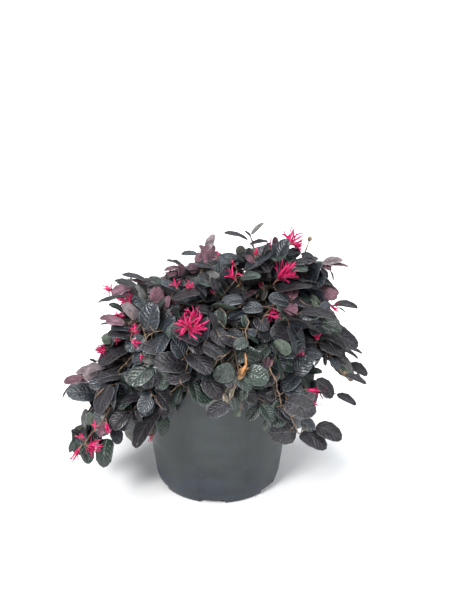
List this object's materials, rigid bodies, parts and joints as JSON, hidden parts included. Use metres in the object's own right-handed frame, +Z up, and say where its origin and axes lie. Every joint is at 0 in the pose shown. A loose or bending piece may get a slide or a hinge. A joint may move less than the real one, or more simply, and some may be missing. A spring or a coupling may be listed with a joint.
{
  "type": "potted weeping flowering shrub",
  "caption": "Low weeping shrub with dark purple leaves and pink ribbon-petalled blossoms, in a round tapered nursery pot with drain slots.",
  "frame": {"origin": "centre of the pot's flat underside", "axes": "+Z up along the pot's axis, -Y towards the viewer's side of the picture, +X to its right"},
  "size_m": [0.4349, 0.3643, 0.3743],
  "materials": {
    "pot": "satin slate-grey moulded plastic",
    "potting_mix": "damp bark and peat mix",
    "bark": "thin tan to orange-brown bark",
    "foliage": "leathery purple-black leaves with a grey-blue sheen"
  },
  "bodies": {
    "root": {"pot": "pot", "potting_mix": "potting_mix", "woody_stem": "bark", "bough_shoulder_front": "bark", "bough_shoulder_front_right": "bark", "bough_shoulder_right": "bark", "bough_shoulder_back_right": "bark", "bough_shoulder_back_left": "bark", "bough_shoulder_left": "bark", "bough_shoulder_front_left": "bark", "bough_top": "bark", "bough_front": "bark", "bough_top_front": "bark", "bough_front_right": "bark", "bough_low_right": "bark", "bough_right": "bark", "bough_right_front": "bark", "bough_top_far_right": "bark", "bough_back_right": "bark", "bough_back": "bark", "bough_back_left": "bark", "bough_shoulder_back": "bark", "bough_low_back": "bark", "bough_left": "bark", "bough_low_left": "bark", "bough_front_left": "bark", "bough_left_front": "bark", "bough_low_front": "bark", "bough_top_left": "bark", "bough_top_right": "bark", "bough_top_back": "bark", "foliage_shoulder_front": "foliage", "foliage_shoulder_front_right": "foliage", "foliage_shoulder_right": "foliage", "foliage_shoulder_back_right": "foliage", "foliage_shoulder_back_left": "foliage", "foliage_shoulder_left": "foliage", "foliage_shoulder_front_left": "foliage", "foliage_top": "foliage", "foliage_front": "foliage", "foliage_top_front": "foliage", "foliage_front_right": "foliage", "foliage_low_right": "foliage", "foliage_right": "foliage", "foliage_right_front": "foliage", "foliage_top_far_right": "foliage", "foliage_back_right": "foliage", "foliage_back": "foliage", "foliage_back_left": "foliage", "foliage_shoulder_back": "foliage", "foliage_low_back": "foliage", "foliage_left": "foliage", "foliage_low_left": "foliage", "foliage_front_left": "foliage", "foliage_left_front": "foliage", "foliage_low_front": "foliage", "foliage_top_left": "foliage", "foliage_top_right": "foliage", "foliage_top_back": "foliage"}
  },
  "joints": []
}
